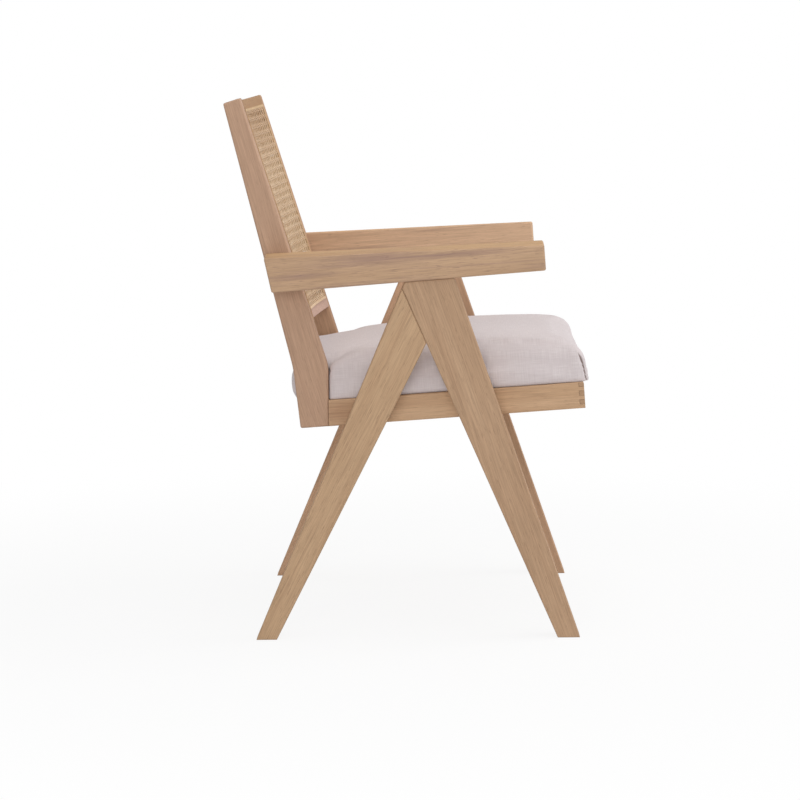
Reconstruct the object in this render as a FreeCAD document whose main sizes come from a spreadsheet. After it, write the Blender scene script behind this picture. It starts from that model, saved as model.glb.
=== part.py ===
import FreeCAD, Part
import math
import os
import re
import Sketcher

doc = FreeCAD.newDocument("cane_armchair")
sizes = doc.addObject("Spreadsheet::Sheet", "sizes")

# Driving dimensions, in millimetres and degrees. Names ending in share are parts of another size.
# Reaches are measured from the middle of the chair: to the front, or to the back for rear sizes.
driving = {
    # V-shaped leg pairs
    "leg_frame_width": 540,
    "leg_thickness": 38,
    "front_foot_reach": 242.36,
    "rear_foot_reach": 207.74,
    "front_foot_depth": 33,
    "rear_foot_depth": 30.5,
    "crotch_reach": 35.06,
    "crotch_drop": 76.60,
    "leg_top_front_reach": 76.65,
    "leg_top_rear_reach": -4.18,
    "leg_ease": 2.2,
    # armrests
    "arm_width": 42,
    "arm_rear_setback": 3.01,
    "arm_rear_cut": 11.8,
    "arm_rear_height": 574,
    "arm_rear_depth": 55.4,
    "arm_front_reach": 211.06,
    "arm_front_cut": 2.8,
    "arm_front_height": 589.5,
    "arm_front_depth": 42.2,
    "arm_fall": 4.3,
    "arm_ease": 3,
    # back uprights
    "side_frame_thickness": 30,
    "upright_front_reach": 111.64,
    "upright_bend_height": 403,
    "upright_bend_depth": 52,
    "upright_foot_depth": 42.2,
    "upright_top_depth": 26,
    "upright_front_bend_radius": 60,
    "upright_rear_bend_radius": 150,
    "upright_ease": 3,
    "back_angle": 17.2,
    "back_length": 418,
    # seat frame
    "seat_angle": 3.57,
    "seat_rear_height": 354.3,
    "seat_depth": 380,
    "rail_height": 39,
    "rail_ease": 2,
    "front_rail_thickness": 20,
    "finger_depth": 8,
    "finger_gap": 0.3,
    "rear_rail_thickness": 20,
    "rear_rail_setback": 16,
    "board_thickness": 12,
    "board_gap": 1,
    "block_leg": 55,
    "block_bolt_gap": 14,
    "block_thickness": 18,
    "cleat_depth": 18,
    # curved cane back
    "back_bow": 22,
    "back_rail_thickness": 18,
    "top_rail_height": 42,
    "lower_rail_height": 42,
    "lower_rail_gap": 21.29,
    "dowel_line_share": 0.6,
    "back_rail_ease": 2,
    "stile_width": 18,
    "groove_inset": 18,
    "stile_groove_inset": 10,
    "groove_depth": 3,
    "spline_width": 4,
    "spline_gap": 0.1,
    "cane_thickness": 2,
    "cane_opening_share": 0.57,
    # loose seat cushion
    "cushion_side_gap": 3,
    "cushion_back_gap": 2,
    "cushion_lift": 0.3,
    "cushion_front_overhang": 6,
    "cushion_tongue_reach": 57,
    "cushion_tongue_gap": 3,
    "cushion_side_height": 57,
    "cushion_crown": 22,
    "cushion_bulge": 4,
    "cushion_draw_in": 3,
    "cushion_corner": 22,
    "cover_thickness": 1.5,
    "foam_gap": 0.2,
    # dowels, screws and bolts
    "dowel_radius": 4,
    "dowel_gap": 0.1,
    "dowel_end_gap": 0.5,
    "leg_dowel_length": 28,
    "arm_dowel_length": 34,
    "rail_dowel_length": 40,
    "back_dowel_radius": 3,
    "back_dowel_length": 36,
    "screw_gap": 0.1,
    "screw_radius": 2.5,
    "screw_head_radius": 4.5,
    "screw_head_height": 4,
    "screw_grip": 25,
    "plug_depth": 6,
    "small_screw_radius": 2,
    "small_screw_head_radius": 3.8,
    "small_screw_head_height": 2.5,
    "small_screw_grip": 14,
    "bolt_radius": 3,
    "bolt_head_radius": 5.5,
    "bolt_head_height": 5,
    "bolt_gap": 0.4,
    "bolt_grip": 14,
    "washer_radius": 7,
    "washer_thickness": 1.6,
    "insert_radius": 5,
    "insert_floor": 2,
}
for row, (alias, value) in enumerate(driving.items(), start=1):
    sizes.set(f"A{row}", alias)
    sizes.set(f"B{row}", str(value))
    sizes.setAlias(f"B{row}", alias)
doc.recompute()

# Sizes that follow from the driving ones.
derived = {
    "side_plane": "leg_frame_width / 2 - leg_thickness",
    "inner_plane": "side_plane - side_frame_thickness",
    # leg edges as lines: a start at the floor and a run per unit of height
    "front_leg_toe": "-front_foot_reach - front_foot_depth / 2",
    "front_leg_heel": "-front_foot_reach + front_foot_depth / 2",
    "rear_leg_toe": "rear_foot_reach - rear_foot_depth / 2",
    "rear_leg_heel": "rear_foot_reach + rear_foot_depth / 2",
    "front_edge_run": "(-leg_top_front_reach - front_leg_toe) / leg_top_front_z",
    "joint_run": "(-crotch_reach - front_leg_heel) / crotch_height",
    "rear_edge_run": "(leg_top_rear_reach - rear_leg_heel) / leg_top_rear_z",
    "joint_top": "(rear_leg_heel - front_leg_heel) / (joint_run - rear_edge_run)",
    "crotch_height": "arm_under_rear_z - crotch_drop",
    # underside of the arm as a line that climbs to the front, which cuts the legs' tops
    "arm_rear_reach": "upright_rear_bend_y + (arm_rear_height - upright_bend_height) * upright_rear_run"
                      " - arm_rear_setback",
    "arm_under_rear_y": "arm_rear_reach - arm_rear_cut",
    "arm_under_rear_z": "arm_rear_height - arm_rear_depth",
    "arm_under_front_z": "arm_front_height - arm_front_depth",
    "arm_under_rise": "(arm_under_front_z - arm_under_rear_z) / (arm_under_rear_y + arm_front_reach)",
    "arm_top_run": "(arm_rear_height - arm_front_height) / (arm_rear_reach + arm_front_reach - arm_front_cut)",
    "leg_top_front_z": "arm_under_rear_z + arm_under_rise * (arm_under_rear_y + leg_top_front_reach)",
    "leg_top_rear_z": "arm_under_rear_z + arm_under_rise * (arm_under_rear_y - leg_top_rear_reach)",
    # upright corners
    "upright_rear_bend_y": "upright_front_reach + upright_bend_depth",
    "upright_top_y": "upright_front_reach + back_length * sin(back_angle)",
    "upright_top_z": "upright_bend_height + back_length * cos(back_angle)",
    "upright_rear_top_y": "upright_top_y + upright_top_depth * cos(back_angle)",
    "upright_rear_top_z": "upright_top_z - upright_top_depth * sin(back_angle)",
    "upright_rear_run": "(upright_rear_top_y - upright_rear_bend_y)"
                        " / (upright_rear_top_z - upright_bend_height)",
    "upright_foot_z": "seat_rear_height - rail_height / cos(seat_angle)",
    # back panel: its front face is an arc through the fronts of the two uprights
    "bow_radius": "(inner_plane * inner_plane + back_bow * back_bow) / (2 * back_bow)",
    "bow_centre": "back_bow - bow_radius",
    "lower_rail_rise": "(seat_rear_height + cushion_side_height + cushion_crown + lower_rail_gap"
                       " - upright_bend_height) / cos(back_angle)",
    "top_groove": "back_length - groove_inset",
    "lower_groove": "lower_rail_rise + groove_inset",
    "lower_rail_top": "lower_rail_rise + lower_rail_height",
    "top_rail_bottom": "back_length - top_rail_height",
    "stile_inner": "inner_plane - stile_width",
    "stile_groove": "inner_plane - stile_groove_inset",
    "spline_half": "spline_width / 2",
    "groove_half": "spline_half + spline_gap",
    "dowel_line": "dowel_line_share * back_rail_thickness",
    # seat frame, measured from the fronts of the uprights at the rail's top edge
    "front_rail_back": "-seat_depth + front_rail_thickness",
    "rear_rail_back": "rear_rail_setback + rear_rail_thickness",
    "block_top": "-board_thickness",
    "block_bottom": "-board_thickness - block_thickness",
    # leg bolts, on a line along the seat halfway between the board and the rail's lower edge
    "bolt_drop": "(rail_height + board_thickness) / 2",
    "bolt_line_z": "seat_rear_height - bolt_drop / cos(seat_angle)",
    "bolt_line_floor": "bolt_line_z + tan(seat_angle) * upright_front_reach",
    "front_bolt_run": "(front_edge_run + joint_run) / 2",
    "rear_bolt_run": "(rear_edge_run - (rear_leg_toe + crotch_reach) / crotch_height) / 2",
    "front_bolt_y": "(front_bolt_run * bolt_line_floor - front_foot_reach)"
                    " / (1 + front_bolt_run * tan(seat_angle))",
    "rear_bolt_y": "(rear_bolt_run * bolt_line_floor + rear_foot_reach)"
                   " / (1 + rear_bolt_run * tan(seat_angle))",
    "rear_block_reach": "rear_rail_setback + (upright_front_reach - rear_bolt_y) / cos(seat_angle)"
                        " - bolt_drop * tan(seat_angle) - washer_radius - block_bolt_gap",
    "insert_length": "bolt_grip + insert_floor",
    # cushion
    "cushion_half": "side_plane - cushion_side_gap",
    "cushion_front": "seat_depth + cushion_front_overhang",
    "tongue_half": "inner_plane - cushion_tongue_gap",
}


def formula(text):
    """The text with each size's name turned into a reference to its cell."""
    def swap(match):
        word = match.group(0)
        if word in derived:
            return "(" + formula(derived[word]) + ")"
        return "sizes." + word if word in driving else word
    return re.sub(r"[a-z_]+", swap, text)


def number(text):
    """The value of a formula of sizes."""
    return float(sizes.evalExpression(formula(text)))


def bind(thing, path, text):
    """Ties one property of an object to a formula of sizes."""
    thing.setExpression(path, formula(text))


def place(thing, at, turn=None):
    """Puts an object at a point, turned by a formula's angle about the x or y axis."""
    for axis, text in zip("xyz", at):
        bind(thing, f"Placement.Base.{axis}", text)
    if turn:
        about, angle = turn
        for axis in "xyz":
            thing.setExpression(f"Placement.Rotation.Axis.{axis}", "1" if axis == about else "0")
        bind(thing, "Placement.Rotation.Angle", angle)


def in_seat(y, z):
    """Chair coordinates of a point of the seat frame, which slopes down to the back."""
    return (f"upright_front_reach + ({y}) * cos(seat_angle) + ({z}) * sin(seat_angle)",
            f"seat_rear_height - ({y}) * sin(seat_angle) + ({z}) * cos(seat_angle)")


def in_back(y, z):
    """Chair coordinates of a point of the back panel, which leans back from the bend."""
    return (f"upright_front_reach + ({y}) * cos(back_angle) + ({z}) * sin(back_angle)",
            f"upright_bend_height - ({y}) * sin(back_angle) + ({z}) * cos(back_angle)")


seat_turn = ("x", "-seat_angle")
back_turn = ("x", "-back_angle")
sides = {"right": -1, "left": 1}


def new_body(name):
    body = doc.addObject("PartDesign::Body", name)
    doc.recompute()
    return body


def new_sketch(body, name, role, offset="0"):
    """An empty sketch on one of the body's own planes, moved along the plane's normal."""
    sketch = body.newObject("Sketcher::SketchObject", name)
    plane = [item for item in body.Origin.OriginFeatures if item.Role == role][0]
    sketch.AttachmentSupport = [(plane, "")]
    sketch.MapMode = "FlatFace"
    bind(sketch, "AttachmentOffset.Base.z", offset)
    return sketch


def fix_point(sketch, curve, end, point):
    """Holds one end of a curve at a point given by two formulas."""
    for kind, text in zip(("DistanceX", "DistanceY"), point):
        index = sketch.addConstraint(Sketcher.Constraint(kind, -1, 1, curve, end, number(text)))
        bind(sketch, f"Constraints[{index}]", text)


def vector(point):
    return FreeCAD.Vector(number(point[0]), number(point[1]), 0)


def draw_polygon(sketch, points):
    """A closed outline of straight lines through the given points."""
    first = sketch.GeometryCount
    ends = [vector(point) for point in points]
    count = len(points)
    for index in range(count):
        sketch.addGeometry(Part.LineSegment(ends[index], ends[(index + 1) % count]), False)
    for index, point in enumerate(points):
        following = first + (index + 1) % count
        sketch.addConstraint(Sketcher.Constraint("Coincident", first + index, 2, following, 1))
        fix_point(sketch, first + index, 1, point)


def draw_arc(sketch, centre, radius, start, end):
    """An arc about a centre, from one point anticlockwise to another."""
    middle = vector(centre)
    angles = [math.atan2(*(vector(point) - middle)[1::-1]) for point in (start, end)]
    circle = Part.Circle(middle, FreeCAD.Vector(0, 0, 1), number(radius))
    curve = sketch.addGeometry(Part.ArcOfCircle(circle, *angles), False)
    index = sketch.addConstraint(Sketcher.Constraint("Radius", curve, number(radius)))
    bind(sketch, f"Constraints[{index}]", radius)
    return curve


def pad(body, sketch, length, both_ways=False):
    feature = body.newObject("PartDesign::Pad", sketch.Name + "_pad")
    feature.Profile = (sketch, [""])
    feature.Midplane = both_ways
    bind(feature, "Length", length)
    doc.recompute()
    return feature


def pocket(body, sketch, length):
    """A cut that goes along the sketch's normal, checked against the volume before it."""
    before = body.Shape.Volume
    feature = body.newObject("PartDesign::Pocket", sketch.Name + "_pocket")
    feature.Profile = (sketch, [""])
    feature.Reversed = True
    bind(feature, "Length", length)
    doc.recompute()
    if feature.Shape.Volume >= before:
        raise ValueError(f"{feature.Name} cuts nothing")
    return feature


def round_edges(body, name, radius, wanted):
    """Rounds the edges of the body for which wanted(edge) is true."""
    base = body.Tip
    chosen = [f"Edge{index + 1}" for index, edge in enumerate(base.Shape.Edges) if wanted(edge)]
    feature = body.newObject("PartDesign::Fillet", name)
    feature.Base = (base, chosen)
    bind(feature, "Radius", radius)
    doc.recompute()
    return feature


tiny = 1e-6


def lies_across(edge):
    """True for an edge of the outline, and not for one along the thickness."""
    return edge.BoundBox.XLength < tiny


def cylinder(name, radius, length, at, turn=None):
    rod = doc.addObject("Part::Cylinder", name)
    bind(rod, "Radius", radius)
    bind(rod, "Height", length)
    place(rod, at, turn)
    return rod


def cross_rod(name, side, radius, start, end, y, z):
    """A rod along X on one side of the chair, between two distances from the middle plane."""
    base = start if side == "left" else f"-({end})"
    return cylinder(name, radius, f"({end}) - ({start})", (base, y, z), ("y", "90"))


def fuse(name, shapes):
    joined = doc.addObject("Part::MultiFuse", name)
    joined.Shapes = shapes
    return joined


def group(label, shapes):
    """Like pieces kept together as separate solids of one node."""
    together = doc.addObject("Part::Compound", label)
    together.Links = shapes
    nodes.append(together)


def drilled(label, blank, tools):
    """The blank with its holes taken out."""
    done = doc.addObject("Part::Cut", label)
    done.Base = blank
    done.Tool = fuse(label + "_holes", tools) if len(tools) > 1 else tools[0]
    nodes.append(done)
    return done


nodes = []
dowels = {"leg_joint_dowels": [], "arm_dowels": [], "side_rail_dowels": [], "rear_rail_dowels": [],
          "back_rail_dowels": []}
holes = {}


def hole_in(node, tool):
    holes.setdefault(node, []).append(tool)


def dowel(kind, name, radius, length, middle, turn, hosts):
    """A dowel centred on a joint, and its slightly larger hole in the two pieces it joins."""
    about, angle = turn
    drive = {"x": ("0", f"sin({angle})", f"-cos({angle})"), "y": (f"-sin({angle})", "0", f"-cos({angle})")}
    for part_name, part_radius, part_length in (
            (name, radius, length),
            (name + "_hole", f"{radius} + dowel_gap", f"{length} + 2 * dowel_end_gap")):
        at = [f"({here}) + ({part_length}) / 2 * ({way})" for here, way in zip(middle, drive[about])]
        rod = cylinder(part_name, part_radius, part_length, at, turn)
        if part_name == name:
            dowels[kind].append(rod)
        else:
            for host in hosts:
                hole_in(host, rod)


# Leg joint dowels: across the line where the rear leg butts against the front leg.
joint_dowel_shares = (0.28, 0.64)
for side, sign in sides.items():
    leg_middle = f"{sign} * (side_plane + leg_thickness / 2)"
    for index, share in enumerate(joint_dowel_shares, start=1):
        height = f"(crotch_height + {share} * (joint_top - crotch_height))"
        dowel("leg_joint_dowels", f"leg_joint_dowel_{side}_{index}", "dowel_radius", "leg_dowel_length",
              (leg_middle, f"front_leg_heel + joint_run * {height}", height),
              ("x", "-90 deg - atan(joint_run)"), (f"front_leg_{side}", f"rear_leg_{side}"))

# Arm dowels: upright in the top of the front leg and the underside of the arm.
arm_dowel_shares = (0.3, 0.72)
for side, sign in sides.items():
    leg_middle = f"{sign} * (side_plane + leg_thickness / 2)"
    for index, share in enumerate(arm_dowel_shares, start=1):
        along = f"({share} * (leg_top_rear_reach + leg_top_front_reach) - leg_top_front_reach)"
        under = f"arm_under_rear_z + arm_under_rise * (arm_under_rear_y - {along})"
        dowel("arm_dowels", f"arm_dowel_{side}_{index}", "dowel_radius", "arm_dowel_length",
              (leg_middle, along, under), ("x", "0"), (f"front_leg_{side}", f"armrest_{side}"))

# Side rail dowels: along the chair, from the rail's rear end into the upright.
rail_dowel_shares = (0.27, 0.73)
for side, sign in sides.items():
    frame_middle = f"{sign} * (side_plane - side_frame_thickness / 2)"
    for index, share in enumerate(rail_dowel_shares, start=1):
        dowel("side_rail_dowels", f"side_rail_dowel_{side}_{index}", "dowel_radius", "rail_dowel_length",
              (frame_middle, "upright_front_reach", f"seat_rear_height - {share} * rail_height"),
              ("x", "-90"), (f"seat_side_rail_{side}", f"back_upright_{side}"))

# Rear rail dowels: across the chair, from the rail's ends into the uprights.
for side, sign in sides.items():
    for index, share in enumerate(rail_dowel_shares, start=1):
        y, z = in_seat("rear_rail_setback + rear_rail_thickness / 2", f"-{share} * rail_height")
        dowel("rear_rail_dowels", f"rear_rail_dowel_{side}_{index}", "dowel_radius", "rail_dowel_length",
              (f"{sign} * inner_plane", y, z), ("y", "90"), ("seat_rear_rail", f"back_upright_{side}"))

# Back rail dowels: across the chair, from the ends of the curved rails into the uprights.
back_dowel_shares = (0.25, 0.75)
for side, sign in sides.items():
    for rail, bottom, height in (("back_top_rail", "top_rail_bottom", "top_rail_height"),
                                 ("back_lower_rail", "lower_rail_rise", "lower_rail_height")):
        for index, share in enumerate(back_dowel_shares, start=1):
            y, z = in_back("dowel_line", f"{bottom} + {share} * {height}")
            dowel("back_rail_dowels", f"{rail}_dowel_{side}_{index}", "back_dowel_radius",
                  "back_dowel_length", (f"{sign} * inner_plane", y, z), ("y", "90"),
                  (rail, f"back_upright_{side}"))

# Arm screws: from a plugged hole in the inner face of the upright into the arm.
arm_screw_shares = (0.28, 0.72)
arm_screws, arm_plugs = [], []
for side in sides:
    for index, share in enumerate(arm_screw_shares, start=1):
        z = f"(arm_rear_height - {share} * arm_rear_depth)"
        above = f"({z} - upright_bend_height)"
        y = (f"(2 * upright_front_reach + upright_bend_depth"
             f" + {above} * (tan(back_angle) + upright_rear_run)) / 2")
        name = f"arm_screw_{side}_{index}"
        seat = "inner_plane + plug_depth"
        neck = f"{seat} + screw_head_height"
        tip = "side_plane + screw_grip"
        arm_screws.append(fuse(name, [
            cross_rod(name + "_head", side, "screw_head_radius", seat, neck, y, z),
            cross_rod(name + "_shank", side, "screw_radius", neck, tip, y, z)]))
        arm_plugs.append(cross_rod(f"arm_plug_{side}_{index}", side, "screw_head_radius",
                                   "inner_plane", seat, y, z))
        clear = "screw_radius + screw_gap"
        wide = "screw_head_radius + screw_gap"
        hole_in(f"back_upright_{side}", cross_rod(name + "_sink", side, wide, "inner_plane - screw_gap",
                                                  neck, y, z))
        hole_in(f"back_upright_{side}", cross_rod(name + "_way", side, clear, "inner_plane",
                                                  "side_plane + screw_gap", y, z))
        hole_in(f"armrest_{side}", cross_rod(name + "_pilot", side, clear, "side_plane - screw_gap",
                                             f"{tip} + screw_gap", y, z))

# Leg bolts: from inside the seat frame through the side rail into a threaded insert in each leg.
leg_bolts, leg_washers, leg_inserts = [], [], []
for side in sides:
    for end in ("front", "rear"):
        y = f"{end}_bolt_y"
        z = f"bolt_line_floor - tan(seat_angle) * {y}"
        name = f"leg_bolt_{end}_{side}"
        under_head = "inner_plane - washer_thickness"
        leg_bolts.append(fuse(name, [
            cross_rod(name + "_head", side, "bolt_head_radius", f"{under_head} - bolt_head_height",
                      under_head, y, z),
            cross_rod(name + "_shank", side, "bolt_radius", under_head, "side_plane + bolt_grip", y, z)]))
        washer = doc.addObject("Part::Cut", f"leg_washer_{end}_{side}")
        washer.Base = cross_rod(washer.Name + "_disc", side, "washer_radius", under_head, "inner_plane", y, z)
        washer.Tool = cross_rod(washer.Name + "_bore", side, "bolt_radius + bolt_gap",
                                f"{under_head} - bolt_gap", "inner_plane + bolt_gap", y, z)
        leg_washers.append(washer)
        insert = doc.addObject("Part::Cut", f"leg_insert_{end}_{side}")
        insert.Base = cross_rod(insert.Name + "_sleeve", side, "insert_radius", "side_plane",
                                "side_plane + insert_length", y, z)
        insert.Tool = cross_rod(insert.Name + "_bore", side, "bolt_radius + screw_gap",
                                "side_plane - bolt_gap", "side_plane + bolt_grip + bolt_gap", y, z)
        leg_inserts.append(insert)
        hole_in(f"seat_side_rail_{side}", cross_rod(name + "_way", side, "bolt_radius + bolt_gap",
                                                    "inner_plane - bolt_gap", "side_plane + bolt_gap", y, z))
        hole_in(f"{end}_leg_{side}", cross_rod(name + "_seat", side, "insert_radius + screw_gap",
                                               "side_plane - bolt_gap",
                                               "side_plane + insert_length + screw_gap", y, z))

# Stile screws: across the chair, from each stile of the cane frame into its upright.
stile_screws = []
stile_screw_shares = (0.2, 0.8)
for side in sides:
    for index, share in enumerate(stile_screw_shares, start=1):
        y, z = in_back("dowel_line", f"lower_rail_top + {share} * (top_rail_bottom - lower_rail_top)")
        name = f"stile_screw_{side}_{index}"
        neck = "stile_inner + small_screw_head_height"
        tip = "inner_plane + small_screw_grip"
        stile_screws.append(fuse(name, [
            cross_rod(name + "_head", side, "small_screw_head_radius", "stile_inner", neck, y, z),
            cross_rod(name + "_shank", side, "small_screw_radius", neck, tip, y, z)]))
        wide = "small_screw_head_radius + screw_gap"
        clear = "small_screw_radius + screw_gap"
        hole_in(f"back_stile_{side}", cross_rod(name + "_sink", side, wide, "stile_inner - screw_gap",
                                                neck, y, z))
        hole_in(f"back_stile_{side}", cross_rod(name + "_way", side, clear, "stile_inner",
                                                "inner_plane + screw_gap", y, z))
        hole_in(f"back_upright_{side}", cross_rod(name + "_pilot", side, clear, "inner_plane - screw_gap",
                                                  f"{tip} + screw_gap", y, z))

# Board screws: down through the seat board into the corner blocks.
board_screws = []
board_screw_share = 0.3
block_corners = (("front", "front_rail_back", "block_leg"), ("rear", "rear_rail_setback", "-rear_block_reach"))
for side, sign in sides.items():
    for end, corner, reach in block_corners:
        x = f"{sign} * (inner_plane - {board_screw_share} * block_leg)"
        along = f"{corner} + {board_screw_share} * {reach}"
        name = f"board_screw_{end}_{side}"
        tip = "-board_thickness - small_screw_grip"
        parts = {}
        for piece, radius, low, high in (
                ("head", "small_screw_head_radius", "-small_screw_head_height", "0"),
                ("shank", "small_screw_radius", tip, "-small_screw_head_height"),
                ("sink", "small_screw_head_radius + screw_gap", "-small_screw_head_height", "screw_gap"),
                ("way", "small_screw_radius + screw_gap", f"{tip} - screw_gap", "0")):
            y, z = in_seat(along, low)
            parts[piece] = cylinder(f"{name}_{piece}", radius, f"({high}) - ({low})", (x, y, z), seat_turn)
        board_screws.append(fuse(name, [parts["head"], parts["shank"]]))
        for tool in (parts["sink"], parts["way"]):
            hole_in("seat_board", tool)
        hole_in(f"{end}_corner_block_{side}", parts["way"])


def outboard(thickness):
    """Where a piece that lies outside the seat frame starts along X, for each side."""
    return {"right": f"-side_plane - {thickness}", "left": "side_plane"}


inboard = {"right": "-side_plane", "left": "inner_plane"}


def side_plate(name, x, points, thickness):
    """A plank cut to an outline in the side view."""
    body = new_body(name)
    sketch = new_sketch(body, name + "_outline", "YZ_Plane")
    draw_polygon(sketch, points)
    pad(body, sketch, thickness)
    place(body, (x, "0", "0"))
    return body


# Legs: the front leg runs up to the arm, the rear leg butts against its rear edge.
front_leg_outline = [
    ("front_leg_toe", "0"),
    ("front_leg_heel", "0"),
    ("front_leg_heel + joint_run * joint_top", "joint_top"),
    ("leg_top_rear_reach", "leg_top_rear_z"),
    ("-leg_top_front_reach", "leg_top_front_z")]
rear_leg_outline = [
    ("rear_leg_toe", "0"),
    ("rear_leg_heel", "0"),
    ("rear_leg_heel + rear_edge_run * joint_top", "joint_top"),
    ("-crotch_reach", "crotch_height")]
for side in sides:
    for end, outline in (("front", front_leg_outline), ("rear", rear_leg_outline)):
        node = f"{end}_leg_{side}"
        body = side_plate(node + "_blank", outboard("leg_thickness")[side], outline, "leg_thickness")
        round_edges(body, node + "_ease", "leg_ease", lies_across)
        drilled(node, body, holes[node])

# Armrests: deeper at the back, with a top that falls outwards and all edges rounded, lying against
# the outside of the uprights.
arm_outline = [
    ("-arm_front_reach", "arm_under_front_z"),
    ("arm_under_rear_y", "arm_under_rear_z"),
    ("arm_rear_reach", "arm_rear_height"),
    ("-arm_front_reach + arm_front_cut", "arm_front_height")]
arm_above = [
    ("-arm_front_reach", "arm_front_height - arm_top_run * arm_front_cut"),
    ("arm_rear_reach + arm_width", "arm_rear_height + arm_top_run * arm_width"),
    ("arm_rear_reach + arm_width", "arm_front_height + arm_width"),
    ("-arm_front_reach", "arm_front_height + arm_width")]
arm_inner_face = {"right": "arm_width", "left": "0"}


def plane_off(body, sketch, outwards):
    """Cuts what is above the arm's top line, going outwards and down by the fall over the arm's width."""
    before = body.Shape.Volume
    feature = body.newObject("PartDesign::Pocket", sketch.Name + "_pocket")
    feature.Profile = (sketch, [""])
    feature.UseCustomVector = True
    feature.AlongSketchNormal = True
    for axis, way in zip("xyz", (str(outwards), "0", "-arm_fall / arm_width")):
        bind(feature, f"Direction.{axis}", way)
    bind(feature, "Length", "2 * arm_width")
    doc.recompute()
    if feature.Shape.Volume >= before:
        raise ValueError(f"{feature.Name} cuts nothing")


for side, sign in sides.items():
    node = f"armrest_{side}"
    body = side_plate(node + "_blank", outboard("arm_width")[side], arm_outline, "arm_width")
    top_cut = new_sketch(body, node + "_top_cut", "YZ_Plane", arm_inner_face[side])
    draw_polygon(top_cut, arm_above)
    plane_off(body, top_cut, sign)
    round_edges(body, node + "_ease", "arm_ease", lambda edge: True)
    drilled(node, body, holes[node])

# Back uprights: upright beside the seat, then bent to lean back, tapering to the top.
upright_outline = [
    ("upright_front_reach", "upright_foot_z"),
    ("upright_front_reach + upright_foot_depth", "upright_foot_z - upright_foot_depth * tan(seat_angle)"),
    ("upright_rear_bend_y", "upright_bend_height"),
    ("upright_rear_top_y", "upright_rear_top_z"),
    ("upright_top_y", "upright_top_z"),
    ("upright_front_reach", "upright_bend_height")]


def along_thickness(point):
    """A test for the edge that runs along the thickness from one corner of the outline."""
    y, z = number(point[0]), number(point[1])
    return lambda edge: all(abs(end.Y - y) + abs(end.Z - z) < tiny for end in edge.Vertexes)


for side in sides:
    node = f"back_upright_{side}"
    body = side_plate(node + "_blank", inboard[side], upright_outline, "side_frame_thickness")
    rear_foot, rear_bend, rear_top, front_top, front_bend = upright_outline[1:]
    round_edges(body, node + "_front_bend", "upright_front_bend_radius", along_thickness(front_bend))
    round_edges(body, node + "_rear_bend", "upright_rear_bend_radius", along_thickness(rear_bend))
    free_ends = [along_thickness(corner) for corner in (rear_foot, rear_top, front_top)]
    round_edges(body, node + "_ease", "upright_ease",
                lambda edge: lies_across(edge) or any(test(edge) for test in free_ends))
    drilled(node, body, holes[node])

# Seat side rails: butted against the uprights, with a comb of fingers cut in the front end.
finger_count = 6
finger_height = f"rail_height / {finger_count}"
rail_outline = [("0", "0"), ("rail_height * tan(seat_angle)", "-rail_height")]
for finger in range(finger_count):
    low = f"-rail_height + {finger} * {finger_height}"
    high = f"-rail_height + {finger + 1} * {finger_height}"
    reach = "-seat_depth + finger_depth" if finger % 2 else "-seat_depth"
    bottom_gap = "" if finger == 0 else (" - finger_gap" if finger % 2 else " + finger_gap")
    top_gap = "" if finger == finger_count - 1 else (" + finger_gap" if finger % 2 else " - finger_gap")
    rail_outline += [(reach, low + bottom_gap), (reach, high + top_gap)]
for side in sides:
    node = f"seat_side_rail_{side}"
    body = new_body(node + "_blank")
    sketch = new_sketch(body, node + "_outline", "YZ_Plane")
    draw_polygon(sketch, rail_outline)
    pad(body, sketch, "side_frame_thickness")
    long_edge = number("seat_depth / 2")
    round_edges(body, node + "_ease", "rail_ease", lambda edge: lies_across(edge) and edge.Length > long_edge)
    place(body, (inboard[side], "upright_front_reach", "seat_rear_height"), seat_turn)
    drilled(node, body, holes[node])


def seat_block(name, low, high):
    """A straight bar of the seat frame between two opposite corners."""
    bar = doc.addObject("Part::Box", name)
    for size, near, far in zip(("Length", "Width", "Height"), low, high):
        bind(bar, size, f"({far}) - ({near})")
    y, z = in_seat(low[1], low[2])
    place(bar, (low[0], y, z), seat_turn)
    return bar


# Front rail: between the side rails, with fingers that pass through their slots.
front_rail = new_body("seat_front_rail")
bar_sketch = new_sketch(front_rail, "front_rail_bar", "YZ_Plane")
draw_polygon(bar_sketch, [("-seat_depth", "-rail_height"), ("front_rail_back", "-rail_height"),
                          ("front_rail_back", "0"), ("-seat_depth", "0")])
pad(front_rail, bar_sketch, "2 * inner_plane", both_ways=True)
finger_sketch = new_sketch(front_rail, "front_rail_fingers", "YZ_Plane")
for finger in range(1, finger_count, 2):
    low = f"-rail_height + {finger} * {finger_height}"
    high = f"{low} + {finger_height}"
    finger_back = "-seat_depth + finger_depth - finger_gap"
    draw_polygon(finger_sketch, [("-seat_depth", low), (finger_back, low),
                                 (finger_back, high), ("-seat_depth", high)])
pad(front_rail, finger_sketch, "2 * side_plane", both_ways=True)
front_face = number("-seat_depth") + tiny
span = number("inner_plane")
round_edges(front_rail, "front_rail_ease", "rail_ease",
            lambda edge: edge.Length > span and edge.BoundBox.YMax < front_face)
place(front_rail, ("0", "upright_front_reach", "seat_rear_height"), seat_turn)
nodes.append(front_rail)

# Rear rail: between the uprights, under the cushion's tongue.
rear_rail = seat_block("seat_rear_rail_blank", ("-inner_plane", "rear_rail_setback", "-rail_height"),
                       ("inner_plane", "rear_rail_back", "0"))
drilled("seat_rear_rail", rear_rail, holes["seat_rear_rail"])

# Seat board: plywood let in flush with the rails' tops, on corner blocks and cleats.
board = seat_block("seat_board_blank",
                   ("-inner_plane + board_gap", "front_rail_back + board_gap", "-board_thickness"),
                   ("inner_plane - board_gap", "rear_rail_setback - board_gap", "0"))
drilled("seat_board", board, holes["seat_board"])

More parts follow.
